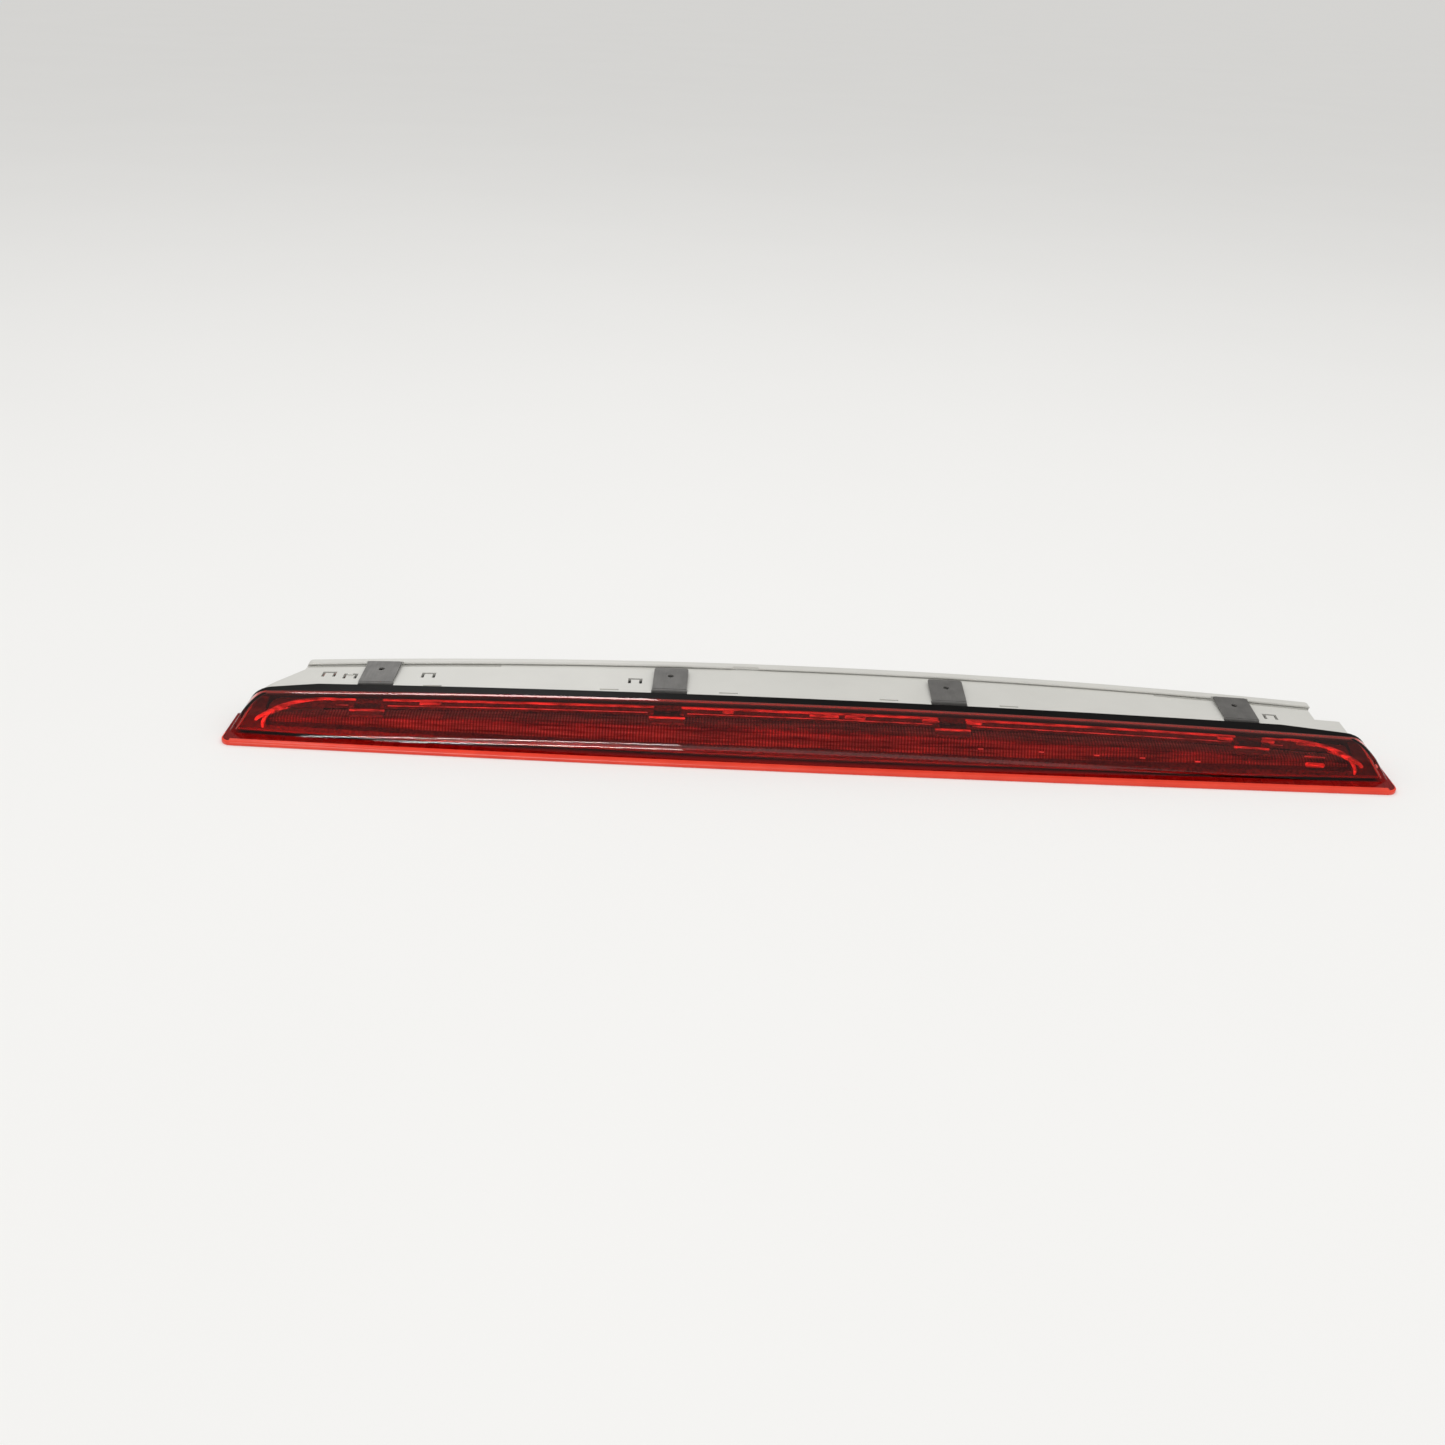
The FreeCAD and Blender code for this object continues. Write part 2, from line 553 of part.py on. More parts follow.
def make_boss():
    """Boss under the deck at mid length, with the pilot hole of a board screw."""
    half = BOSS_WIDTH / 2
    boss = block(-half, half, BOARD_BACK + SOLDER, BOSS_BACK, LED_HEIGHT - half, LENS_TOP - DECK_DROP - 1)
    return boss.cut(Part.makeCylinder(SCREW_SHANK, FAR, Vector(0, depth(0), LED_HEIGHT), Vector(0, 1, 0)))


def rim_groove(x_from, x_to):
    """Shallow groove in the deck along the foot of the rim."""
    groove = block(x_from, x_to, 50, DEPTH, 0, ABOVE).common(within_rear(RIM_FRONT - 0.1, 0, ABOVE))
    groove = groove.cut(within_rear(RIM_FRONT - 1.6, -1, ABOVE + 1))
    return groove.cut(under_arch(LENS_TOP - DECK_DROP - 0.9, 30, BEHIND))


def make_housing():
    """Grey upper shell, with its bosses and all that is cut in its deck."""
    shell = make_housing_shell()
    shell = shell.cut(block(SHROUD_LEFT - 0.05, SHROUD_RIGHT + 0.05, LUG_BACK - 4, LUG_BACK + 2,
                            SHROUD_LOW - 0.05, SHROUD_HIGH + 0.05))
    shell = shell.fuse([station(make_boss(), x) for x in SCREW_STATIONS])
    cuts = [tongue_slot(x, d) for x, d in TONGUE_SLOTS]
    cuts.append(tongue_slot(*HOOK_SLOT))
    for x in LATCH_MARKS:
        low = deck_height(x) - LATCH_SINK
        cuts.append(block(x - LATCH_WIDTH / 2, x + LATCH_WIDTH / 2, LATCH_FRONT, LATCH_BACK, low, ABOVE))
    half = CLIP_WIDTH / 2 + 0.4
    slot = block(-half, half, CLIP_HINGE_DEPTH - CLIP_SLOT_FRONT, CLIP_HINGE_DEPTH + CLIP_SLOT_BACK, 17, ABOVE)
    cuts.extend([station(slot, x) for x in CLIP_STATIONS])
    cuts.extend([rim_groove(x_from, x_to) for x_from, x_to in RIM_GROOVES])
    x, d = HOOK_SLOT
    hook = block(x - 1.2, x + 1.2, d + 0.4, d + 1.6, deck_height(x) - 1, deck_height(x) + 0.9)
    return shell.cut(cuts).fuse(hook).cut(make_connector_pins(0.5)).removeSplitter()


def make_rear_cover():
    """Grey bottom and rear shell. The top of its rear wall is the rim behind the deck."""
    floor = plan_prism(0, 0, FLOOR).common(within_rear(DEPTH, -1, 5))
    floor = floor.cut(block(-FAR, FAR, 0, FLOOR_FRONT, -1, 5))
    top = LENS_TOP - DECK_DROP
    rear = block(-HOUSING_END, RIM_RIGHT, 50, BEHIND, 0, ABOVE).common(within_rear(DEPTH, -1, ABOVE + 1))
    rear = rear.common(under_arch(top + RIM_HEIGHT, 0, BEHIND))
    rear = fillet_where(rear, RIM_END_ROUND, lambda e: e.Length < 30 and e.CenterOfMass.z > 15)
    wall = rear.cut(within_rear(HOUSING_BACK + FIT_GAP, -1, ABOVE + 1))
    ledge = rear.cut(within_rear(RIM_FRONT, -1, ABOVE + 1)).cut(under_arch(top + FIT_GAP, -1, BEHIND + 1))
    cover = floor.fuse([wall, ledge]).removeSplitter()
    crest = [e for e in cover.Edges if e.Length > 100 and e.CenterOfMass.z > 20]
    cover = cover.makeFillet(0.8, crest)
    hooks = []
    for x, d in TONGUE_SLOTS:
        tip = deck_height(x) - HOUSING_WALL - 0.4
        hooks.append(block(x - 1.6, x + 1.6, d - 1.6, d - 0.2, FLOOR - 0.5, tip))
    half = CLIP_WIDTH / 2 + 0.8
    vent = Part.makeCylinder(VENT_HOLE, 10, Vector(VENT_X, depth(DEPTH - 6), VENT_Z), Vector(0, 1, 0))
    notch = block(*RIM_NOTCH, 60, RIM_FRONT + 0.6, 20, ABOVE)
    tip_room = block(-half, half, 60, CLIP_HINGE_DEPTH + CLIP_LENGTH + 0.6, top - 2, ABOVE)
    tip_rooms = [station(tip_room, x) for x in CLIP_STATIONS]
    return cover.fuse(hooks).cut([vent, notch] + tip_rooms).removeSplitter()


def make_vent_plug():
    """Breather pressed into the rear wall from inside, up to its flange."""
    y = depth(DEPTH) - VENT_X ** 2 / (2 * REAR_RADIUS)
    stem = Part.makeCylinder(VENT_HOLE, 3.2, Vector(VENT_X, y - 3.0, VENT_Z), Vector(0, 1, 0))
    flange = Part.makeCylinder(VENT_HOLE + 1.5, 1.0, Vector(VENT_X, y - 4.0, VENT_Z), Vector(0, 1, 0))
    bore = Part.makeCylinder(VENT_BORE, 9, Vector(VENT_X, y - 6, VENT_Z), Vector(0, 1, 0))
    return stem.fuse(flange).cut(bore)


# ---- spring clips --------------------------------------------------------------------------------
def clip_bend():
    return Vector(0, depth(CLIP_HINGE_DEPTH), LENS_TOP - DECK_DROP + CLIP_HINGE_RISE)


def make_clip_anchor():
    """The clip's root at mid length: a round bend, and a leg hooked under the deck."""
    bend = clip_bend()
    radius = CLIP_GAUGE / 2
    half = CLIP_WIDTH / 2
    knuckle = Part.makeCylinder(radius, CLIP_WIDTH, bend - Vector(half, 0, 0), Vector(1, 0, 0))
    leg = Part.makeBox(CLIP_WIDTH, CLIP_GAUGE, CLIP_LEG, bend - Vector(half, radius, CLIP_LEG))
    foot = Part.makeBox(CLIP_WIDTH, CLIP_FOOT, CLIP_GAUGE, bend - Vector(half, radius, CLIP_LEG))
    return knuckle.fuse([leg, foot]).removeSplitter()


def make_clip_leaf():
    """The clip's leaf at mid length: a flat spring that rises a little towards its free end."""
    bend = clip_bend()
    half = CLIP_WIDTH / 2
    start = CLIP_GAUGE / 2 + CLIP_BREAK
    corner = Vector(-half, bend.y + start, bend.z - CLIP_GAUGE / 2)
    leaf = Part.makeBox(CLIP_WIDTH, CLIP_LENGTH - start, CLIP_GAUGE, corner)
    at_end = depth(CLIP_HINGE_DEPTH + CLIP_LENGTH) - 0.1
    upright = [e for e in leaf.Edges if abs(e.tangentAt(e.FirstParameter).z) > 0.9]
    leaf = leaf.makeFillet(1.5, [e for e in upright if e.CenterOfMass.y > at_end])
    hole = Part.makeCylinder(CLIP_HOLE, 5, Vector(0, bend.y + CLIP_HOLE_AT, bend.z - 2))
    leaf = leaf.cut(hole)
    leaf.rotate(bend, Vector(1, 0, 0), CLIP_SLOPE)
    return leaf


# ---- export ----------------------------------------------------------------------------------------
def make_parts():
    parts = {"outer_lens": make_outer_lens(), "bezel_frame": make_bezel_frame(),
             "lens_gasket": make_lens_gasket(), "optic_surround": make_optic_surround(),
             "optic_plate": make_optic_plate(),
             "reflector": make_reflector(), "circuit_board": make_circuit_board(), "leds": make_leds(),
             "resistors": make_resistors(), "diode": make_diode(), "capacitor": make_capacitor(),
             "board_screws": make_board_screws(), "connector_pins": make_connector_pins(0),
             "connector_shroud": make_connector_shroud(), "connector_seal": make_connector_seal(),
             "housing": make_housing(), "rear_cover": make_rear_cover(), "vent_plug": make_vent_plug()}
    for number, x in enumerate(CLIP_STATIONS, start=1):
        parts["clip_anchor_" + str(number)] = station(make_clip_anchor(), x)
        parts["clip_leaf_" + str(number)] = station(make_clip_leaf(), x)
    return parts


if __name__ == "__main__":
    os.makedirs("parts", exist_ok=True)
    for name, shape in make_parts().items():
        print(name, shape.isValid(), len(shape.Solids), round(shape.Volume, 1))
        shape.exportStep("parts/" + name + ".step")
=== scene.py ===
"""Looks of a slim high-mounted brake light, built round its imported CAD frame.

Metres, in the CAD's frame: X along the lamp, the red lens faces -Y, Z = 0 is the flat underside.
Depths are measured from the front edge of the lens's lip at mid length.
"""
import json
import math
import bpy
import bmesh
import numpy as np
from mathutils import Matrix, Vector


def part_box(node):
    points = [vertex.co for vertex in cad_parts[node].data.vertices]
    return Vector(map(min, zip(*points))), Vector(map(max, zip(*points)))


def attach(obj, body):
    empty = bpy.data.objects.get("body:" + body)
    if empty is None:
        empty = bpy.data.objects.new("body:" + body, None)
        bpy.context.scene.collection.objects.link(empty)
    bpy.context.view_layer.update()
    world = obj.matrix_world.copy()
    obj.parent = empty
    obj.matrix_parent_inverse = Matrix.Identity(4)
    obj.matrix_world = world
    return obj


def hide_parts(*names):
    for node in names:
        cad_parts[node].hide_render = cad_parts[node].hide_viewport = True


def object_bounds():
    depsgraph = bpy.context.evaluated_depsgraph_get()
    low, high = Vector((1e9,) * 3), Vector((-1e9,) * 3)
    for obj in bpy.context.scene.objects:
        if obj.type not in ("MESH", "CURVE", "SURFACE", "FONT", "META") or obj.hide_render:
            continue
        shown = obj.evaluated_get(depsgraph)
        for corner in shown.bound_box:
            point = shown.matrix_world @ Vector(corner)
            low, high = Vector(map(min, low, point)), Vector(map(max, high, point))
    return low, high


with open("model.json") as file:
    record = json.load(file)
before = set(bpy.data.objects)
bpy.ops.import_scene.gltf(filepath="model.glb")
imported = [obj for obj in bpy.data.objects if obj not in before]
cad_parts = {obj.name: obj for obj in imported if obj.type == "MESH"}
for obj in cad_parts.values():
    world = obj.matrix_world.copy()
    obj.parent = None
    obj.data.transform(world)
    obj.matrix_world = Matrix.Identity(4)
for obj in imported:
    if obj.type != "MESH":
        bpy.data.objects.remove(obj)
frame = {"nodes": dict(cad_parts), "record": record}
CAD_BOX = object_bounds()

# ---- sizes of the lamp -------------------------------------------------------------------------
DEPTH = CAD_BOX[1].y - CAD_BOX[0].y
HALF_LENGTH = CAD_BOX[1].x
BOW_RADIUS = 5.745          # the lens and its optics follow this arc
BOW_TILT = math.radians(21.4)
LENS_TOP = 0.0235
LENS_BACK = 0.03095
LENS_WALL = 0.0025
FOOT_HALF = 0.3039          # half length of the lens body at the underside
END_LEAN = math.radians(33.3)
CORNER_RADIUS = 0.014
LIP_THICK = 0.0024
LIP_ROUND = 0.0009
LIP_CORNER = 0.006
LIP_PAINTED_GLOW_REACH = 0.012            # how far back the rim's painted glow reaches round the corners
LIP_PAINTED_GLOW_BAND = 0.0025           # width of the painted glow on the lip's flat top
EDGE_ROUND = 0.0027         # rounding between the lens's face and its ends
FLANGE_SLOPE = math.radians(35)
UPPER_SLOPE = math.radians(15)
STEP_LOW = (0.0085, 0.0056)      # corners of the lens's profile: depth and height at mid length
STEP_HIGH = (0.00875, 0.0084)
FACE_TOP = (0.01535, 0.01985)
STEP_LOW_ROUND = 0.0022
STEP_HIGH_ROUND = 0.0018
FACE_TOP_ROUND = 0.009
TOP_EDGE_ROUND = 0.012
PROFILE_LOW = -0.012             # the profile runs on below the foot, for the bowed-down ends
PROFILE_PAST = 0.002             # and past the lens's back
BODY = "lamp"
CLIP_STATIONS = [(low.x + high.x) / 2 for low, high in (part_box("clip_leaf_" + n) for n in "1234")]
SURROUND_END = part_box("optic_surround")[1].x


def depth_y(value):
    """Y of a depth measured from the lip's front edge."""
    return value - DEPTH / 2


def sag(x):
    return BOW_RADIUS - math.sqrt(BOW_RADIUS ** 2 - x * x)


def drop(x):
    """How far the bow lowers a point at x."""
    return sag(x) * math.cos(BOW_TILT)


def sweep(x):
    """How far the bow moves a point at x towards the rear."""
    return sag(x) * math.sin(BOW_TILT)


# ---- mesh helpers ------------------------------------------------------------------------------
SHARP_ANGLE = math.radians(32)
BEND_TURN = math.radians(6)     # turn of each step of a rounded corner
MERGE = 1e-7                    # points closer than this are merged
LENS_MERGE = 2e-6


def add_object(name, mesh, material):
    """Link a mesh as a piece that rides on the lamp's body."""
    piece = bpy.data.objects.new(name, mesh)
    bpy.context.scene.collection.objects.link(piece)
    mesh.materials.append(material)
    mesh.shade_smooth()
    mesh.set_sharp_from_angle(angle=SHARP_ANGLE)
    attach(piece, BODY)
    return piece


def mesh_from(name, points, faces, merge=MERGE):
    """Mesh with close points merged and its faces turned outwards."""
    work = bmesh.new()
    verts = [work.verts.new(p) for p in points]
    for face in faces:
        corners = [verts[i] for i in face]
        if len(set(corners)) > 2:
            try:
                work.faces.new(corners)
            except ValueError:
                pass
    bmesh.ops.remove_doubles(work, verts=work.verts, dist=merge)
    bmesh.ops.dissolve_degenerate(work, edges=work.edges, dist=merge)
    bmesh.ops.recalc_face_normals(work, faces=work.faces)
    mesh = bpy.data.meshes.new(name)
    work.to_mesh(mesh)
    work.free()
    return mesh


def rounded_path(corners):
    """Points along (u, v, radius) corners, the first and last of them plain ends."""
    path = [Vector(corners[0][:2])]
    for before, here, after in zip(corners, corners[1:], corners[2:]):
        point = Vector(here[:2])
        back = (Vector(before[:2]) - point).normalized()
        ahead = (Vector(after[:2]) - point).normalized()
        half = back.angle(ahead) / 2
        reach = here[2] / math.tan(half)
        centre = point + (back + ahead).normalized() * (here[2] / math.sin(half))
        start = point + back * reach - centre
        end = point + ahead * reach - centre
        bend = start.angle(end)
        steps = max(2, round(bend / BEND_TURN))
        side = 1 if start.x * end.y - start.y * end.x > 0 else -1
        for number in range(steps + 1):
            angle = side * bend * number / steps
            path.append(centre + Matrix.Rotation(angle, 2) @ start)
    path.append(Vector(corners[-1][:2]))
    return path


# ---- lens --------------------------------------------------------------------------------------
SMALLEST_ROUND = 0.0006


def moved_in(corners, gap):
    """The lens profile's corners moved gap behind its surface, the last one at the same depth."""
    lines = []
    for (u0, v0, r0), (u1, v1, r1) in zip(corners, corners[1:]):
        along = Vector((u1 - u0, v1 - v0)).normalized()
        inward = Vector((along.y, -along.x))
        lines.append((Vector((u0, v0)) + inward * gap, along))
    moved = [(*lines[0][0], 0)]
    for (p, a), (q, b), corner in zip(lines, lines[1:], corners[1:]):
        cross = a.x * b.y - a.y * b.x
        step = ((q.x - p.x) * b.y - (q.y - p.y) * b.x) / cross
        meet = p + a * step
        radius = corner[2] + (gap if cross > 0 else -gap)
        moved.append((meet.x, meet.y, max(radius, SMALLEST_ROUND)))
    last, along = lines[-1]
    moved.append((corners[-1][0], last.y + along.y / along.x * (corners[-1][0] - last.x), 0))
    return moved


def lens_profile(gap):
    """Depths and heights of the lens's surface at mid length, gap behind the outer one."""
    foot = STEP_LOW[0] - (STEP_LOW[1] - PROFILE_LOW) / math.tan(FLANGE_SLOPE)
    crest = FACE_TOP[0] + (LENS_TOP - FACE_TOP[1]) / math.tan(UPPER_SLOPE)
    corners = [(foot, PROFILE_LOW, 0), (*STEP_LOW, STEP_LOW_ROUND), (*STEP_HIGH, STEP_HIGH_ROUND),
               (*FACE_TOP, FACE_TOP_ROUND), (crest, LENS_TOP, TOP_EDGE_ROUND),
               (LENS_BACK + PROFILE_PAST, LENS_TOP, 0)]
    return rounded_path(moved_in(corners, gap) if gap else corners)


class Outline:
    """The lamp's outline from the front, drawn in by inset: flat foot, leaning ends, round corners."""

    def __init__(self, inset, foot):
        self.top = LENS_TOP - inset
        self.foot = foot
        self.radius = CORNER_RADIUS - inset
        self.base = FOOT_HALF - inset / math.cos(END_LEAN)
        reach = self.base * math.cos(END_LEAN) - self.radius
        x = self.base - 0.02
        for _ in range(20):
            z = self.top - drop(x) - self.radius
            x = (reach - z * math.sin(END_LEAN)) / math.cos(END_LEAN)
        self.x = x
        self.z = z

    def height(self, x):
        """Height of the corner and the leaning end above x, right of the corner's crest."""
        lean_x = self.x + self.radius * math.cos(END_LEAN)
        if x < lean_x:
            return self.z + math.sqrt(max(self.radius ** 2 - (x - self.x) ** 2, 0))
        return (self.base - x) / math.tan(END_LEAN)

    def end_of(self, row):
        """Where a row that is row high at mid length meets the outline."""
        near = self.x
        far = self.base
        for _ in range(50):
            x = (near + far) / 2
            if max(row - drop(x), self.foot) > self.height(x):
                far = x
            else:
                near = x
        return near

    def turn_at(self, x):
        """Angle from the vertical of the outline's normal at x."""
        lean_x = self.x + self.radius * math.cos(END_LEAN)
        if x >= lean_x:
            return math.pi / 2 - END_LEAN
        return math.atan2(x - self.x, self.height(x) - self.z)


FRONT_COLUMNS = 180         # columns of the lens's front, of each rounded edge, of each end wall
ROUND_COLUMNS = 8
WALL_COLUMNS = 6
ROW_STEP = 0.0006
RIM_STEPS = 6
RIM_FOOT = ((0.00025, 0), (0.00007, 0.00007), (0, 0.00025))     # inset and height, round the under edge
INNER_EDGE = EDGE_ROUND - 0.0015
BAND_SHARE = 0.9            # most of the lip's flat top that the band of painted glow takes
LEVEL = 0.00002             # heights closer than this count as level
BAND_SLACK = 0.0002


def row_heights(profile, low, high):
    """Heights at mid length of the rows of a lens surface, from its foot to its top."""
    rows = []
    for point, after in zip(profile, profile[1:]):
        pieces = max(1, math.ceil((after - point).length / ROW_STEP))
        rows += [point.y + (after.y - point.y) * k / pieces for k in range(pieces)]
    return [low] + [z for z in rows if low < z < high - 1e-6] + [high]


def skin_columns(end_x, end_turn, edge):
    """(x, depth added by the rounding, share of the way to the back) for each column of one row."""
    width = edge / math.sin(math.pi / 2 - END_LEAN)
    radius = edge * math.sin(end_turn) / math.sin(math.pi / 2 - END_LEAN)
    right = []
    for k in range(1, ROUND_COLUMNS + 1):
        angle = math.pi / 2 * k / ROUND_COLUMNS
        right.append((end_x - width * (1 - math.sin(angle)), radius * (1 - math.cos(angle)), 0))
    for k in range(1, WALL_COLUMNS + 1):
        right.append((end_x, radius, k / WALL_COLUMNS))
    flat = end_x - width
    middle = [(flat * (2 * k / FRONT_COLUMNS - 1), 0, 0) for k in range(FRONT_COLUMNS + 1)]
    return [(-x, add, share) for x, add, share in reversed(right)] + middle + right


def lens_skin(gap, foot, edge):
    """Grid of points of one surface of the lens, from its foot to its top row."""
    profile = lens_profile(gap)
    depths = [p.x for p in profile]
    heights = [p.y for p in profile]
    outline = Outline(gap, foot)
    high = outline.top
    grid = []
    for row in row_heights(profile, foot, high):
        end_x = outline.end_of(row)
        line = []
        for x, added, share in skin_columns(end_x, outline.turn_at(end_x), edge):
            z = max(row - drop(x), foot)
            front = np.interp(min(z + drop(x), high - 1e-7), heights, depths) + added
            line.append(Vector((x, depth_y(front + (LENS_BACK - front) * share + sweep(x)), z)))
        grid.append(line)
    grid.append([Vector((p.x, depth_y(LENS_BACK + sweep(p.x)), p.z)) for p in grid[-1]])
    return grid


def lip_rows(foot_row):
    """Rows round the lip's edge, from its underside up to its flat top."""
    rim = list(RIM_FOOT)
    for k in range(RIM_STEPS + 1):
        angle = math.pi / 2 * k / RIM_STEPS
        rim.append((LIP_ROUND * (1 - math.cos(angle)), LIP_THICK - LIP_ROUND * (1 - math.sin(angle))))
    corner_x = HALF_LENGTH - LIP_CORNER
    corner_y = depth_y(sweep(corner_x)) + LIP_CORNER
    back = depth_y(LENS_BACK + sweep(HALF_LENGTH))
    half = len(foot_row) // 2
    front = half - ROUND_COLUMNS - WALL_COLUMNS
    edge = []
    for k in range(half + 1):
        if k <= front:
            x = corner_x * k / front
            edge.append((Vector((x, depth_y(sweep(x)), 0)), Vector((0, -1, 0))))
        elif k <= front + ROUND_COLUMNS:
            angle = math.pi / 2 * (k - front) / ROUND_COLUMNS
            outward = Vector((math.sin(angle), -math.cos(angle), 0))
            edge.append((Vector((corner_x, corner_y, 0)) + outward * LIP_CORNER, outward))
        else:
            share = (k - front - ROUND_COLUMNS) / WALL_COLUMNS
            y = corner_y + (back - corner_y) * share
            edge.append((Vector((HALF_LENGTH, y, 0)), Vector((1, 0, 0))))
    flip = Vector((-1, 1, 1))
    whole = [(p * flip, n * flip) for p, n in reversed(edge[1:])] + edge
    return [[p - n * inset + Vector((0, 0, z)) for p, n in whole] for inset, z in rim]


def bridge(first, second):
    """Triangles between two lists of point numbers that run side by side."""
    faces = []
    i = 0
    j = 0
    while i < len(first) - 1 or j < len(second) - 1:
        along_first = (i + 1) / max(len(first) - 1, 1)
        along_second = (j + 1) / max(len(second) - 1, 1)
        if j == len(second) - 1 or (i < len(first) - 1 and along_first <= along_second):
            faces.append((first[i], first[i + 1], second[j]))
            i += 1
        else:
            faces.append((first[i], second[j + 1], second[j]))
            j += 1
    return faces


def paint_lip_glow(lens, material):
    """Give the lip's rim, and a band of its flat top, the painted-glow material."""
    lens.data.materials.append(material)
    for polygon in lens.data.polygons:
        corners = [lens.data.vertices[v].co for v in polygon.vertices]
        heights = [corner.z for corner in corners]
        far = max(abs(corner.x) for corner in corners)
        back = max(corner.y for corner in corners) - depth_y(sweep(far))
        on_top = min(heights) > LIP_THICK - LEVEL
        reach = LIP_ROUND + LIP_PAINTED_GLOW_BAND + BAND_SLACK if on_top else LIP_PAINTED_GLOW_REACH
        if max(heights) < LIP_THICK + LEVEL and back < reach:
            polygon.material_index = 1


def make_lens(material, lip_painted_glow_material):
    """The red lens: a shell that is open at the back, on a flat foot with a rounded lip."""
    outer = lens_skin(0, LIP_THICK, EDGE_ROUND)
    rim = lip_rows(outer[0])
    band = [edge + (foot - edge) * min(BAND_SHARE, LIP_PAINTED_GLOW_BAND / (foot - edge).length)
            for edge, foot in zip(rim[-1], outer[0])]
    outer = rim + [band] + outer
    inner = lens_skin(LENS_WALL, LENS_WALL, INNER_EDGE)
    points = []
    faces = []

    def lay(grid):
        numbers = []
        for line in grid:
            numbers.append(list(range(len(points), len(points) + len(line))))
            points.extend(line)
        for low, high in zip(numbers, numbers[1:]):
            faces.extend([(low[c], low[c + 1], high[c + 1], high[c]) for c in range(len(low) - 1)])
        return numbers

    def rear_line(row, z):
        start = len(points)
        points.extend([Vector((p.x, depth_y(LENS_BACK + sweep(p.x)), z)) for p in row])
        return list(range(start, len(points)))

    first = ROUND_COLUMNS + WALL_COLUMNS
    last = first + FRONT_COLUMNS
    rears = []
    skins = []
    for grid, z in ((outer, 0), (inner, LENS_WALL)):
        numbers = lay(grid)
        rear = rear_line(grid[0][first:last + 1], z)
        front = numbers[0][first:last + 1]
        faces.extend([(front[c], front[c + 1], rear[c + 1], rear[c]) for c in range(len(front) - 1)])
        faces.append(numbers[0][:first + 1] + [rear[0]])
        faces.append([rear[-1]] + numbers[0][last:])
        rears.append(rear)
        skins.append(numbers)
    around = []
    under = []
    for numbers, rear in zip(skins, rears):
        left = [line[0] for line in numbers]
        right = [line[-1] for line in reversed(numbers)]
        around.append(left[:-1] + numbers[-1] + right[1:])
        under.append([numbers[0][0]] + rear + [numbers[0][-1]])
    count = len(outer) - len(inner)
    faces.extend(bridge(around[0][:count + 1], around[1][:1]))
    faces.extend(bridge(around[0][count:-count], around[1]))
    faces.extend(bridge(around[0][-count - 1:], around[1][-1:]))
    faces.extend(bridge(*under))
    lens = add_object("lens", mesh_from("lens", points, faces, LENS_MERGE), material)
    paint_lip_glow(lens, lip_painted_glow_material)
    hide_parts("outer_lens")


# ---- what shows through the lens ---------------------------------------------------------------
TUBE_SIDES = 12
TUBE_CAP = 0.6              # a tube's rounded end: how far it stands out, and its end ring, in radii
TUBE_CAP_RING = 0.5
BEAD_GAP = 0.0040           # the bright beads lie this far behind the lens's outer surface
BEAD_PROFILE = lens_profile(BEAD_GAP)
BEAD_STEP = 0.004
BEAD_TOP = 0.0191           # heights at mid length of the long top bead and the thin one under it
BEAD_UNDER = 0.0180
BEAD_TOP_RADIUS = 0.0008
BEAD_UNDER_RADIUS = 0.0003
BEAD_UNDER_SHORTER = 0.003
CLIP_GAP = 0.0075           # the top beads stop this far from the middle of each clip
SHORT_HALF = 0.0092         # short bead below each clip
SHORT_HEIGHT = 0.0173
SHORT_RADIUS = 0.0005
BLOCKS = ((-0.204, -0.194), (-0.045, -0.0405), (0.0005, 0.0145), (0.019, 0.0285), (0.0595, 0.067),
          (0.0825, 0.0895), (0.215, 0.222), (0.2385, 0.244), (0.257, 0.266))
BLOCK_RADIUS = 0.0012
DOTS = (0.089, 0.1205, 0.1495, 0.1735, 0.2025)
DOT_HALF = 0.0012
DOT_HEIGHT = 0.0109
DOT_RADIUS = 0.0004
RIGHT_END_BARS = ((0.260, 0.2685, 0.0130, 0.0013), (0.259, 0.2695, 0.0163, 0.0004))
ARC_STEPS = 22
ARC_END = 0.2895
ARC_TOP_HALF = 0.038        # half width of the ellipse of each end's upper arc
ARC_START = ARC_END - ARC_TOP_HALF
# centre, half width, half height, first and last turn in degrees, and radius of each end's arcs
END_ARCS = (((ARC_START, 0.0130), ARC_TOP_HALF, 0.0062, 92, 6, 0.0013),
            ((ARC_END - 0.0135, 0.0115), 0.0095, 0.0065, 48, -12, 0.0010))


def behind_lens(x, height):
    """Point on the beads' layer, from its x and its height at mid length."""
    near = np.interp(height, [p.y for p in BEAD_PROFILE], [p.x for p in BEAD_PROFILE])
    return Vector((x, depth_y(near + sweep(x)), height - drop(x)))


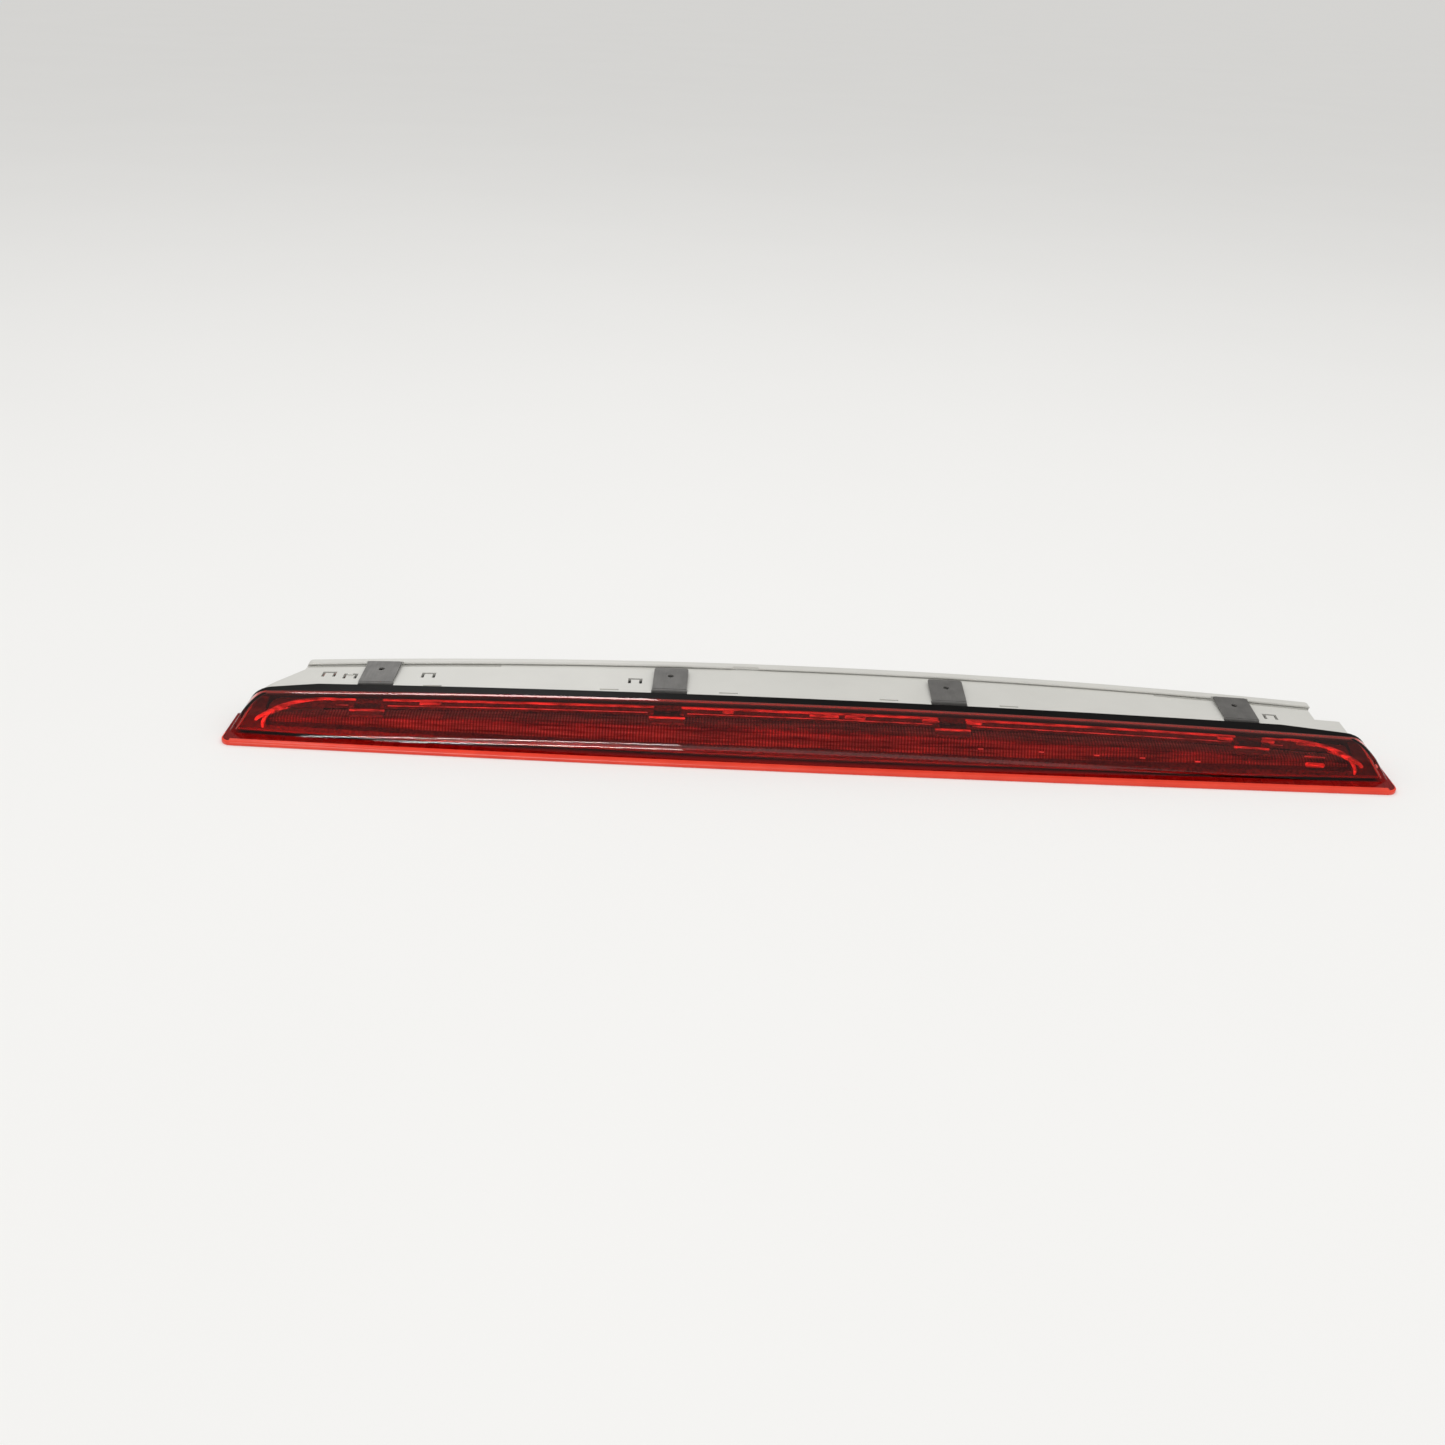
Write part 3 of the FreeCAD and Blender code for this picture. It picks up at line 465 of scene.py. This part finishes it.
def add_tube(points, faces, path, radii):
    """Closed tube along a path with its own radius at each point, and rounded ends."""
    first = (path[1] - path[0]).normalized()
    last = (path[-1] - path[-2]).normalized()
    stations = [(path[0] - first * radii[0] * TUBE_CAP, radii[0] * TUBE_CAP_RING)]
    stations += list(zip(path, radii))
    stations.append((path[-1] + last * radii[-1] * TUBE_CAP, radii[-1] * TUBE_CAP_RING))
    side = first.cross(Vector((0, 1, 0))).normalized()
    rings = []
    for number, (centre, radius) in enumerate(stations):
        before = stations[max(number - 1, 0)][0]
        after = stations[min(number + 1, len(stations) - 1)][0]
        along = (after - before).normalized()
        side = (side - along * side.dot(along)).normalized()
        other = along.cross(side)
        rings.append(list(range(len(points), len(points) + TUBE_SIDES)))
        for k in range(TUBE_SIDES):
            angle = 2 * math.pi * k / TUBE_SIDES
            points.append(centre + (side * math.cos(angle) + other * math.sin(angle)) * radius)
    for low, high in zip(rings, rings[1:]):
        for k in range(TUBE_SIDES):
            after = (k + 1) % TUBE_SIDES
            faces.append((low[k], low[after], high[after], high[k]))
    faces.append(tuple(rings[0]))
    faces.append(tuple(rings[-1]))


def straight_bead(points, faces, x_from, x_to, height, radius):
    """Bead of one radius at one height, following the lens's bow."""
    count = max(2, math.ceil((x_to - x_from) / BEAD_STEP))
    path = [behind_lens(x_from + (x_to - x_from) * k / count, height) for k in range(count + 1)]
    add_tube(points, faces, path, [radius] * len(path))


def end_arc(points, faces, side, centre, half, rise, turn_from, turn_to, radius):
    """Crescent round one end of the surround, along an ellipse, thin at both tips."""
    path = []
    radii = []
    for k in range(ARC_STEPS + 1):
        angle = math.radians(turn_from + (turn_to - turn_from) * k / ARC_STEPS)
        x = centre[0] + half * math.cos(angle)
        path.append(behind_lens(side * x, centre[1] + rise * math.sin(angle)))
        radii.append(radius * (0.35 + 0.65 * math.sin(math.pi * (0.12 + 0.76 * k / ARC_STEPS))))
    add_tube(points, faces, path, radii)


def make_beads(material):
    """Bright beads of the surround: along its top, under each clip, and round both ends."""
    points = []
    faces = []
    edges = [-ARC_START]
    for x in CLIP_STATIONS:
        edges += [x - CLIP_GAP, x + CLIP_GAP]
        straight_bead(points, faces, x - SHORT_HALF, x + SHORT_HALF, SHORT_HEIGHT, SHORT_RADIUS)
    edges.append(ARC_START)
    for x_from, x_to in zip(edges[::2], edges[1::2]):
        straight_bead(points, faces, x_from, x_to, BEAD_TOP, BEAD_TOP_RADIUS)
        straight_bead(points, faces, x_from + BEAD_UNDER_SHORTER, x_to - BEAD_UNDER_SHORTER, BEAD_UNDER,
                      BEAD_UNDER_RADIUS)
    for x_from, x_to in BLOCKS:
        straight_bead(points, faces, x_from, x_to, (BEAD_TOP + BEAD_UNDER) / 2, BLOCK_RADIUS)
    for x in DOTS:
        straight_bead(points, faces, x - DOT_HALF, x + DOT_HALF, DOT_HEIGHT, DOT_RADIUS)
    for bar in RIGHT_END_BARS:
        straight_bead(points, faces, *bar)
    for side in (-1, 1):
        for arc in END_ARCS:
            end_arc(points, faces, side, *arc)
    add_object("surround_beads", mesh_from("surround_beads", points, faces), material)


MASK_AND_SHADE_BACK = LENS_BACK - 0.0012      # the end masks and the floor's painted-shade sheet stop this short of the lens's back
END_MASK_GAP = 0.0046               # behind the lens's outer surface
END_MASK_THICK = 0.0006
END_MASK_LOW = 0.0098               # height at mid length
END_MASK_TOP_GAP = 0.0004
END_MASK_FLOOR = 0.003              # the sheet never goes lower than this above the underside
END_MASK_INSET = LENS_WALL + 0.0008
END_MASK_START = SURROUND_END - 0.0006
END_MASK_NARROWEST = 0.0008
END_MASK_ROWS = 16
END_MASK_COLUMNS = 10


def end_mask_sheet(side, outline, behind):
    """Points of one face of an end mask, row by row, lying behind the lens's face."""
    profile = lens_profile(END_MASK_GAP + behind)
    depths = [p.x for p in profile]
    heights = [p.y for p in profile]
    grid = []
    for r in range(END_MASK_ROWS + 1):
        height = END_MASK_LOW + (outline.top - END_MASK_TOP_GAP - END_MASK_LOW) * r / END_MASK_ROWS
        end = max(outline.end_of(height), END_MASK_START + END_MASK_NARROWEST)
        near = min(np.interp(height, heights, depths), MASK_AND_SHADE_BACK + behind)
        line = []
        for c in range(END_MASK_COLUMNS + 1):
            x = END_MASK_START + (end - END_MASK_START) * c / END_MASK_COLUMNS
            z = max(height - drop(x), END_MASK_FLOOR)
            line.append(Vector((side * x, depth_y(near + sweep(x)), z)))
        grid.append(line)
    return grid


def make_end_masks(material):
    """Dark grained sheets between the surround and the lens's ends."""
    outline = Outline(END_MASK_INSET, END_MASK_FLOOR)
    for side, name in ((-1, "end_mask_left"), (1, "end_mask_right")):
        points = []
        faces = []
        loops = []
        for behind in (0, END_MASK_THICK):
            grid = []
            for line in end_mask_sheet(side, outline, behind):
                grid.append(list(range(len(points), len(points) + len(line))))
                points.extend(line)
            for low, high in zip(grid, grid[1:]):
                faces += [(low[c], low[c + 1], high[c + 1], high[c]) for c in range(END_MASK_COLUMNS)]
            loops.append(grid[0] + [line[-1] for line in grid[1:]] + grid[-1][-2::-1]
                         + [line[0] for line in grid[-2:0:-1]])
        near, far = loops
        faces += [(near[k - 1], near[k], far[k], far[k - 1]) for k in range(len(near))]
        add_object(name, mesh_from(name, points, faces), material)


FLOOR_SHADE_LOW = LENS_WALL + 0.0001
FLOOR_SHADE_THICK = 0.0003
FLOOR_SHADE_GAP = LENS_WALL + 0.0004     # behind the lens's outer surface
FLOOR_SHADE_HALF = FOOT_HALF - 0.006
FLOOR_SHADE_COLUMNS = 60


def make_floor_shade_sheet(material):
    """Brown sheet of painted shade on the lens's floor, so that its flange shows dark and doesn't show
    what lies underneath.
    """
    points = []
    faces = []
    profile = lens_profile(FLOOR_SHADE_GAP)
    depths = [p.x for p in profile]
    heights = [p.y for p in profile]
    for k in range(FLOOR_SHADE_COLUMNS + 1):
        x = FLOOR_SHADE_HALF * (2 * k / FLOOR_SHADE_COLUMNS - 1)
        for z in (FLOOR_SHADE_LOW, FLOOR_SHADE_LOW + FLOOR_SHADE_THICK):
            front = max(np.interp(z + FLOOR_SHADE_THICK + drop(x), heights, depths), 0.0)
            points += [Vector((x, depth_y(depth + sweep(x)), z)) for depth in (front, MASK_AND_SHADE_BACK)]
    for k in range(FLOOR_SHADE_COLUMNS):
        a = 4 * k
        b = a + 4
        faces += [(a, a + 1, b + 1, b), (a + 2, b + 2, b + 3, a + 3), (a, b, b + 2, a + 2),
                  (a + 1, a + 3, b + 3, b + 1)]
    end = 4 * FLOOR_SHADE_COLUMNS
    faces += [(0, 2, 3, 1), (end, end + 1, end + 3, end + 2)]
    add_object("floor_shade_sheet", mesh_from("floor_shade_sheet", points, faces), material)


# ---- materials ---------------------------------------------------------------------------------
class Nodes:
    """A material under construction, with its Principled shader at hand."""

    def __init__(self, name, colour, roughness, **settings):
        self.material = bpy.data.materials.new(name)
        self.material.use_nodes = True
        self.tree = self.material.node_tree
        self.shader = self.tree.nodes["Principled BSDF"]
        self.set("Base Color", (*colour, 1))
        self.set("Roughness", roughness)
        for key, value in settings.items():
            self.set(key.replace("_", " ").title().replace("Ior", "IOR"), value)
        self.place = self.add("ShaderNodeTexCoord").outputs["Object"]

    def set(self, key, value):
        self.shader.inputs[key].default_value = value

    def add(self, kind, **values):
        node = self.tree.nodes.new(kind)
        for key, value in values.items():
            if hasattr(node, key):
                setattr(node, key, value)
            else:
                node.inputs[key.replace("_", " ")].default_value = value
        return node

    def link(self, output, target):
        self.tree.links.new(output, target)

    def stretched(self, x, y, z):
        """Object coordinates, scaled per metre along each axis."""
        mapping = self.add("ShaderNodeMapping", Scale=(x, y, z))
        self.link(self.place, mapping.inputs["Vector"])
        return mapping.outputs["Vector"]

    def noise(self, scale, detail=3.0, vector=None, roughness=0.55):
        node = self.add("ShaderNodeTexNoise", Scale=scale, Detail=detail, Roughness=roughness)
        self.link(vector or self.place, node.inputs["Vector"])
        return node.outputs["Fac"]

    def spread(self, value, low, high, from_low=0.3, from_high=0.7):
        node = self.add("ShaderNodeMapRange")
        node.inputs["From Min"].default_value = from_low
        node.inputs["From Max"].default_value = from_high
        node.inputs["To Min"].default_value = low
        node.inputs["To Max"].default_value = high
        self.link(value, node.inputs["Value"])
        return node.outputs["Result"]

    def mix(self, value, first, second):
        node = self.add("ShaderNodeMix", data_type="RGBA")
        self.link(value, node.inputs["Factor"])
        for socket, colour in ((node.inputs[6], first), (node.inputs[7], second)):
            if isinstance(colour, tuple):
                socket.default_value = (*colour, 1)
            else:
                self.link(colour, socket)
        return node.outputs[2]

    def bump(self, value, strength, distance):
        node = self.add("ShaderNodeBump", Strength=strength, Distance=distance)
        self.link(value, node.inputs["Height"])
        self.link(node.outputs["Normal"], self.shader.inputs["Normal"])

    def vary(self, value, first, second):
        """Base colour that varies between two colours."""
        self.link(self.mix(value, first, second), self.shader.inputs["Base Color"])

    def rough(self, value, low, high):
        self.link(self.spread(value, low, high), self.shader.inputs["Roughness"])


GRAIN_HEIGHT = 0.00003


def moulded_plastic(name, colour, roughness, shift=0.06, **settings):
    """Fine-grained moulding with a faint drift in shade."""
    nodes = Nodes(name, colour, roughness, **settings)
    darker = tuple(c * (1 - shift) for c in colour)
    nodes.vary(nodes.spread(nodes.noise(28, 4), 0, 1), colour, darker)
    fine = nodes.noise(2600, 2)
    nodes.rough(fine, roughness - 0.06, roughness + 0.08)
    nodes.bump(fine, 0.35, GRAIN_HEIGHT)
    return nodes.material


def red_lens():
    """Clear red acrylic that lets the room's light through to what lies behind it."""
    nodes = Nodes("red_acrylic", (0.94, 0.20, 0.17), 0.03, transmission_weight=1.0, ior=1.49)
    nodes.vary(nodes.spread(nodes.noise(40, 3), 0, 1), (0.94, 0.19, 0.16), (0.91, 0.16, 0.135))
    shadow = nodes.add("ShaderNodeBsdfTransparent", Color=(0.88, 0.07, 0.055, 1))
    path = nodes.add("ShaderNodeLightPath")
    choice = nodes.add("ShaderNodeMixShader")
    nodes.link(path.outputs["Is Shadow Ray"], choice.inputs["Fac"])
    nodes.link(nodes.shader.outputs["BSDF"], choice.inputs[1])
    nodes.link(shadow.outputs["BSDF"], choice.inputs[2])
    nodes.link(choice.outputs["Shader"], nodes.tree.nodes["Material Output"].inputs["Surface"])
    return nodes.material


def lip_painted_glow():
    """The lens's edge with painted glow: a bright opaque orange-red that stands in for the light the clear
    lip gathers.
    """
    nodes = Nodes("red_edge_painted_glow", (0.86, 0.07, 0.035), 0.3, specular_ior_level=0.3)
    nodes.vary(nodes.spread(nodes.noise(60, 3), 0, 1), (0.88, 0.075, 0.04), (0.78, 0.055, 0.03))
    nodes.bump(nodes.noise(500, 2), 0.08, 0.0001)
    return nodes.material


def mask_dark():
    """Nearly black grain of the end masks."""
    nodes = Nodes("mask_dark", (0.03, 0.016, 0.014), 0.6)
    grain = nodes.noise(600, 3)
    nodes.vary(nodes.spread(grain, 0, 1, 0.38, 0.62), (0.045, 0.024, 0.02), (0.008, 0.006, 0.006))
    nodes.bump(grain, 0.4, 0.0002)
    return nodes.material


def painted_shade_brown():
    """Streaky brown of the floor's painted-shade sheet."""
    nodes = Nodes("painted_shade_brown", (0.3, 0.1, 0.08), 0.6)
    streaks = nodes.noise(1.0, 4, nodes.stretched(60, 500, 500))
    nodes.vary(nodes.spread(streaks, 0, 1), (0.36, 0.12, 0.09), (0.16, 0.05, 0.04))
    return nodes.material


def bead_white():
    """White of the bright beads, broken by darker streaks."""
    nodes = Nodes("bead_white", (0.95, 0.94, 0.9), 0.3)
    streaks = nodes.noise(1.0, 4, nodes.stretched(90, 500, 500))
    nodes.vary(nodes.spread(streaks, 0, 1, 0.35, 0.62), (0.2, 0.18, 0.17), (0.95, 0.93, 0.9))
    return nodes.material


def housing_grey():
    return moulded_plastic("housing_plastic", (0.66, 0.655, 0.62), 0.5)


def bezel_black():
    return moulded_plastic("bezel_plastic", (0.009, 0.008, 0.008), 0.5, shift=0.4, specular_ior_level=0.06)


def rubber_black():
    return moulded_plastic("soft_rubber", (0.02, 0.02, 0.021), 0.72, shift=0.3)


def surround_grey():
    """Dark grained surround, against which its bright beads show."""
    nodes = Nodes("surround_plastic", (0.05, 0.035, 0.03), 0.5)
    grain = nodes.noise(700, 3)
    nodes.vary(nodes.spread(grain, 0, 1, 0.38, 0.62), (0.1, 0.07, 0.065), (0.012, 0.01, 0.01))
    nodes.bump(grain, 0.5, 0.0002)
    return nodes.material


def optic_clear():
    """Fluted optic, seen as fine upright hatching with uneven streaks along it."""
    nodes = Nodes("fluted_optic", (0.1, 0.095, 0.09), 0.35, specular_ior_level=0.4)
    flutes = nodes.add("ShaderNodeTexWave", bands_direction="X", Scale=195, Distortion=0.9, Detail=2.0)
    nodes.link(nodes.place, flutes.inputs["Vector"])
    streaks = nodes.noise(1.0, 5, nodes.stretched(30, 300, 620), 0.7)
    tint = nodes.mix(nodes.spread(streaks, 0, 1, 0.36, 0.66), (0.014, 0.012, 0.012), (0.36, 0.31, 0.28))
    nodes.vary(nodes.spread(flutes.outputs["Fac"], 0.3, 1, 0.15, 0.85), (0.01, 0.008, 0.008), tint)
    nodes.bump(flutes.outputs["Fac"], 0.6, 0.0004)
    return nodes.material


def reflector_silver():
    return moulded_plastic("metallised", (0.62, 0.62, 0.63), 0.22, metallic=0.9)


def board_green():
    nodes = Nodes("solder_mask", (0.03, 0.16, 0.07), 0.35)
    tracks = nodes.add("ShaderNodeTexBrick", Scale=130.0)
    nodes.link(nodes.place, tracks.inputs["Vector"])
    nodes.vary(tracks.outputs["Fac"], (0.03, 0.17, 0.075), (0.05, 0.26, 0.11))
    nodes.bump(tracks.outputs["Fac"], 0.3, 0.00004)
    return nodes.material


def led_yellow():
    nodes = Nodes("led_package", (0.85, 0.8, 0.6), 0.25)
    nodes.vary(nodes.spread(nodes.noise(900, 2), 0, 1), (0.86, 0.82, 0.66), (0.8, 0.66, 0.25))
    return nodes.material


def component_black():
    return moulded_plastic("epoxy_body", (0.03, 0.03, 0.032), 0.45, shift=0.5)


def metal(name, colour, roughness, along, metallic=1.0):
    """Rolled or drawn metal: fine streaks along one axis, and patches of duller surface."""
    nodes = Nodes(name, colour, roughness, metallic=metallic)
    streaks = nodes.noise(1.0, 3, nodes.stretched(*along))
    patches = nodes.noise(160, 4)
    darker = tuple(c * 0.78 for c in colour)
    nodes.vary(nodes.spread(patches, 0, 1), colour, darker)
    nodes.rough(streaks, roughness - 0.1, roughness + 0.12)
    nodes.bump(streaks, 0.25, GRAIN_HEIGHT)
    return nodes.material


def make_materials():
    """One material for each slot of the CAD's record."""
    return {"lens_red": red_lens(), "bezel_black": bezel_black(), "housing_grey": housing_grey(),
            "surround_grey": surround_grey(), "optic_clear": optic_clear(),
            "reflector_silver": reflector_silver(), "board_green": board_green(),
            "led_yellow": led_yellow(),
            "component_black": component_black(), "connector_black": component_black(),
            "can_aluminium": metal("drawn_aluminium", (0.7, 0.7, 0.72), 0.3, (60, 60, 1200)),
            "spring_steel": metal("spring_steel", (0.2, 0.195, 0.187), 0.6, (3000, 90, 90), 0.35),
            "screw_steel": metal("plated_steel", (0.6, 0.6, 0.58), 0.3, (400, 400, 400)),
            "pin_brass": metal("tinned_brass", (0.72, 0.68, 0.55), 0.3, (200, 1500, 200)),
            "rubber_black": rubber_black()}


def dress_cad(materials):
    """Give every CAD node the material of its slot."""
    for entry in frame["record"]["subparts"]:
        node = frame["nodes"][entry["node"]]
        node.data.materials.clear()
        node.data.materials.append(materials[entry["material_slot"]])


# ---- stage, lights and camera ------------------------------------------------------------------
CAMERA_AT = Vector((-0.04551, -0.68277, 0.37021))
CAMERA_PITCH = math.radians(28.0)
CAMERA_ROLL = math.radians(2.46)
CAMERA_LENS = 36.05
FLOOR_REACH = 70.0
FLOOR_COLOUR = (0.9, 0.9, 0.895)


def make_floor():
    """Pale matt floor, wide enough that its far edge isn't seen from the camera."""
    mesh = bpy.data.meshes.new("floor")
    signs = ((-1, -1), (1, -1), (1, 1), (-1, 1))
    mesh.from_pydata([Vector((x * FLOOR_REACH, y * FLOOR_REACH, 0)) for x, y in signs], [], [(0, 1, 2, 3)])
    sheet = bpy.data.objects.new("floor", mesh)
    bpy.context.scene.collection.objects.link(sheet)
    nodes = Nodes("floor_paint", FLOOR_COLOUR, 0.6, specular_ior_level=0.0)
    nodes.vary(nodes.spread(nodes.noise(3, 3), 0, 1), FLOOR_COLOUR, tuple(c * 0.99 for c in FLOOR_COLOUR))
    mesh.materials.append(nodes.material)


def area_light(name, place, target, size, power, glossy_only=False, hidden_gloss=False):
    """Soft panel. It can be one that is only seen in gloss, or never seen in gloss."""
    data = bpy.data.lights.new(name, "AREA")
    data.shape = "RECTANGLE"
    data.size, data.size_y = size
    data.energy = power
    light = bpy.data.objects.new(name, data)
    light.location = place
    light.rotation_euler = (Vector(target) - Vector(place)).to_track_quat("-Z", "Y").to_euler()
    light.visible_camera = False
    if glossy_only:
        light.visible_diffuse = False
        light.visible_transmission = False
    if hidden_gloss:
        light.visible_glossy = False
    bpy.context.scene.collection.objects.link(light)


ROOM_LIGHT = 0.74           # strength of the room's light, and how much of it gloss reflects
ROOM_IN_GLOSS = 0.22


def make_lights():
    """Even room light, a wide ceiling panel, and two cards that draw the long highlights."""
    world = bpy.data.worlds.new("room")
    world.use_nodes = True
    backdrop = world.node_tree.nodes["Background"]
    backdrop.inputs["Color"].default_value = (1.0, 0.99, 0.97, 1)
    path = world.node_tree.nodes.new("ShaderNodeLightPath")
    dim = world.node_tree.nodes.new("ShaderNodeMapRange")
    dim.inputs["To Min"].default_value = ROOM_LIGHT
    dim.inputs["To Max"].default_value = ROOM_IN_GLOSS
    world.node_tree.links.new(path.outputs["Is Glossy Ray"], dim.inputs["Value"])
    world.node_tree.links.new(dim.outputs["Result"], backdrop.inputs["Strength"])
    bpy.context.scene.world = world
    area_light("ceiling", (0, -0.2, 1.6), (0, 0, 0), (2.4, 2.0), 11.5, hidden_gloss=True)
    area_light("front_card", (-0.41, -1.24, 0.25), (-0.41, 0, 0.25), (0.58, 0.28), 15, glossy_only=True)
    area_light("rear_card", (-0.235, 0.235, 0.2), (-0.15, 0, 0), (0.28, 0.05), 0.32, glossy_only=True)


def make_camera():
    """Camera in front of the lamp, looking down at it, slightly rolled."""
    data = bpy.data.cameras.new("camera")
    data.lens = CAMERA_LENS
    data.sensor_width = 36.0
    data.clip_start = 0.01
    camera = bpy.data.objects.new("camera", data)
    ahead = Vector((0, math.cos(CAMERA_PITCH), -math.sin(CAMERA_PITCH)))
    level_up = Vector((0, math.sin(CAMERA_PITCH), math.cos(CAMERA_PITCH)))
    level_right = Vector((1, 0, 0))
    right = level_right * math.cos(CAMERA_ROLL) + level_up * math.sin(CAMERA_ROLL)
    up = level_up * math.cos(CAMERA_ROLL) - level_right * math.sin(CAMERA_ROLL)
    turn = Matrix((right, up, -ahead)).transposed().to_4x4()
    camera.matrix_world = Matrix.Translation(CAMERA_AT) @ turn
    bpy.context.scene.collection.objects.link(camera)
    bpy.context.scene.camera = camera


make_camera()
make_floor()
make_lights()
MATERIALS = make_materials()
dress_cad(MATERIALS)
# the lip's rim and a band of its top get a painted glow
make_lens(MATERIALS["lens_red"], lip_painted_glow())
make_beads(bead_white())
# a brown sheet of painted shade on the lens's floor
make_floor_shade_sheet(painted_shade_brown())
make_end_masks(mask_dark())
bpy.context.scene.view_settings.view_transform = "Standard"
